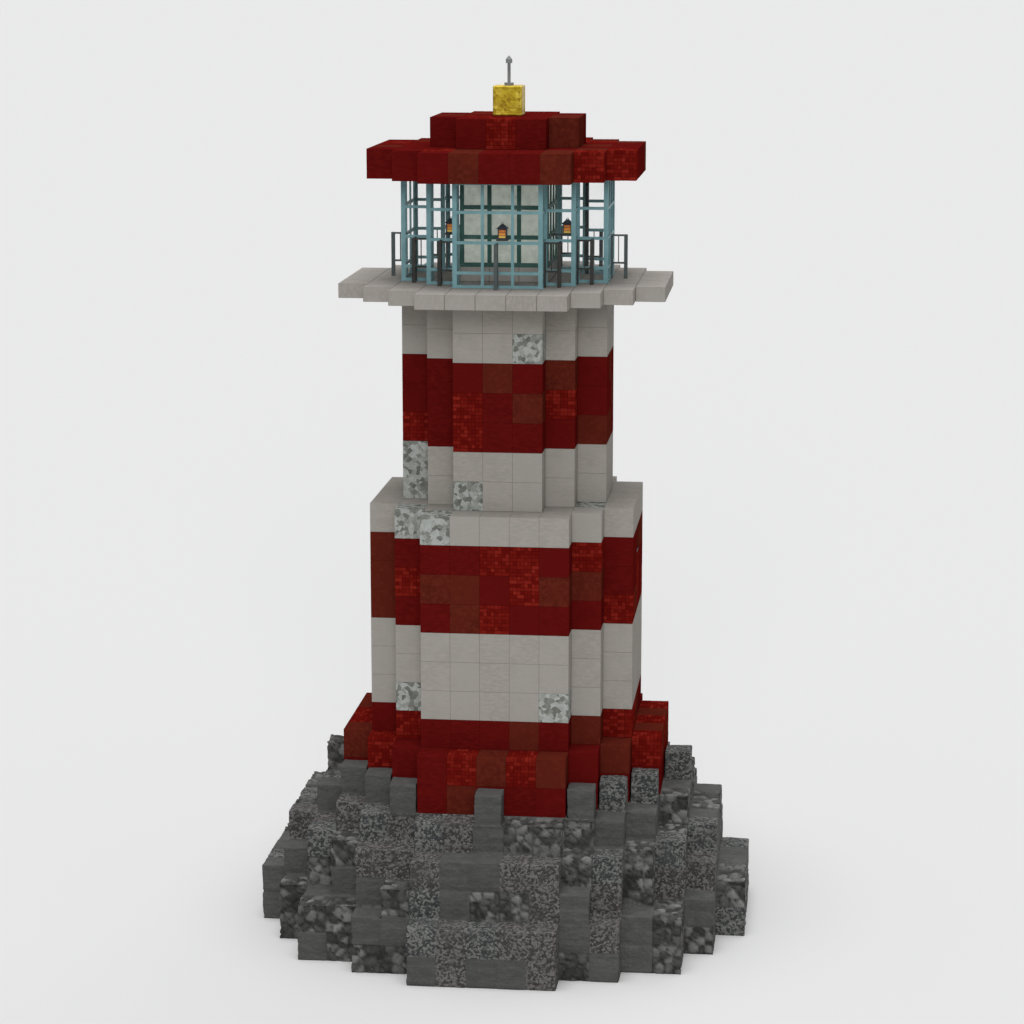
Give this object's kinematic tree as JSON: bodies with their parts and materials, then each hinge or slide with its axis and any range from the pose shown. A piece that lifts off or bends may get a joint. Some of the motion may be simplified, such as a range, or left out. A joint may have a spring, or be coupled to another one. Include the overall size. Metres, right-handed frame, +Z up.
{
  "type": "lighthouse",
  "caption": "Round stepped block lighthouse with red and white bands on a rock mound, with a gallery, glazed lantern room, red roof and gilded finial.",
  "frame": {"origin": "on the ground at the tower's vertical axis, under the middle of the rock mound", "axes": "+Z up along the tower's axis; -Y is the front; +X is to the right seen from the front (east)"},
  "size_m": [17, 17, 30],
  "materials": {
    "rock": "rough weathered rubble",
    "red_stone": "dark red painted masonry blocks, some brick faced",
    "white_stone": "off-white limewashed masonry, weathered",
    "pale_stone": "smooth off-white slabs with fine joints",
    "glazing_bars": "satin blue-grey paint",
    "clear_glass": "clear glazing",
    "green_bronze": "dark green painted bars",
    "frosted_glass": "frosted panels",
    "amber_glass": "warm amber glass",
    "dark_iron": "blackened iron",
    "gilding": "worn gilding",
    "rod_steel": "grey metal"
  },
  "bodies": {
    "root": {"base_corner_walls": "red_stone", "base_straight_walls": "red_stone", "finial_block": "gilding", "gallery_slab": "pale_stone", "guard_fins_axes": "dark_iron", "guard_fins_steps": "dark_iron", "lamp_bodies": "amber_glass", "lamp_brackets": "dark_iron", "lamp_caps": "dark_iron", "lantern_glass_sides": "clear_glass", "lantern_glass_steps": "clear_glass", "lantern_posts": "glazing_bars", "lantern_sashes_east_west": "glazing_bars", "lantern_sashes_front_back": "glazing_bars", "lantern_sashes_steps": "glazing_bars", "lantern_upright": "dark_iron", "lens_cage": "green_bronze", "lens_panels": "frosted_glass", "lens_plinth": "white_stone", "lightning_rod": "rod_steel", "lower_foot_corner_walls": "red_stone", "lower_foot_straight_walls": "red_stone", "lower_red_corner_walls": "red_stone", "lower_red_front_back_walls": "red_stone", "lower_red_window_walls": "red_stone", "lower_white_corner_walls": "white_stone", "lower_white_straight_walls": "white_stone", "rock_collar": "rock", "rock_tier_1": "rock", "rock_tier_2": "rock", "rock_tier_3": "rock", "rock_tier_4": "rock", "roof_cap": "red_stone", "roof_eaves": "red_stone", "setback_course": "white_stone", "upper_red_corner_walls": "red_stone", "upper_red_straight_walls": "red_stone", "upper_white_high_corner_walls": "white_stone", "upper_white_high_straight_walls": "white_stone", "upper_white_low_corner_walls": "white_stone", "upper_white_low_straight_walls": "white_stone", "window_frames": "glazing_bars", "window_panes": "clear_glass"}
  },
  "joints": []
}
